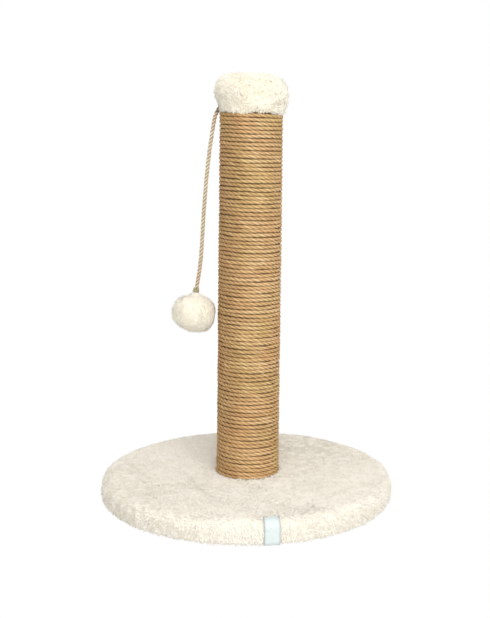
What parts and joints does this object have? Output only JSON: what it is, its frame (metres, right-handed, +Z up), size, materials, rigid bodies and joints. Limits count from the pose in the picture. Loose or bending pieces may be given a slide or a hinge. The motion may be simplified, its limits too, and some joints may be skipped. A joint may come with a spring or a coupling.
{
  "type": "cat scratching post",
  "caption": "Free-standing cat scratching post: round plush base, rope-wound post, padded plush cap and a plush ball hung on a cord for a cat to bat.",
  "frame": {"origin": "centre of the base's underside, on the floor", "axes": "+Z up along the post; the ball hangs on the -X side; the label is on the -Y side"},
  "size_m": [0.4, 0.4, 0.5787],
  "materials": {
    "board_wood": "matte",
    "plug_wood": "matte",
    "tube_board": "matte",
    "plush_pile": "matte",
    "fibre_filling": "matte",
    "backing_cloth": "matte",
    "label_ribbon": "satin",
    "rope": "matte",
    "cord": "matte",
    "thread": "matte",
    "steel": "satin"
  },
  "bodies": {
    "stand": {"base_board": "board_wood", "base_wadding": "fibre_filling", "base_cover": "plush_pile", "base_backing": "backing_cloth", "cover_staples": "steel", "side_label": "label_ribbon", "post_tube": "tube_board", "bottom_plug": "plug_wood", "top_plug": "plug_wood", "bottom_plug_nails": "steel", "top_plug_nails": "steel", "t_nut": "steel", "post_bolt": "steel", "bolt_washer": "steel", "rope_winding_1": "rope", "rope_winding_2": "rope", "rope_winding_3": "rope", "rope_winding_4": "rope", "cap_cover": "plush_pile", "cap_padding": "fibre_filling", "cap_staples": "steel", "cord_staple": "steel", "toy_cord_tail": "cord"},
    "cord_upper": {"toy_cord_upper": "cord"},
    "cord_drop": {"toy_cord_drop": "cord"},
    "toy_ball": {"ball_cover": "plush_pile", "ball_stuffing": "fibre_filling", "cord_knot": "cord", "ball_tie": "thread"}
  },
  "joints": [
    {"name": "toy_swing_side", "type": "hinge", "parent": "stand", "child": "cord_upper", "pos_m": [-0.0491, 0, 0.52], "axis": [1, 0, 0], "range_deg": [-75, 75]},
    {"name": "toy_swing_out", "type": "hinge", "parent": "cord_upper", "child": "cord_drop", "pos_m": [-0.053, 0, 0.5025], "axis": [0, 1, 0], "range_deg": [-0.4, 100]},
    {"name": "ball_twist", "type": "hinge", "parent": "cord_drop", "child": "toy_ball", "pos_m": [-0.07245, 0, 0.283], "axis": [-0.1106, 0, -0.9939], "range_deg": [-180, 180]}
  ]
}
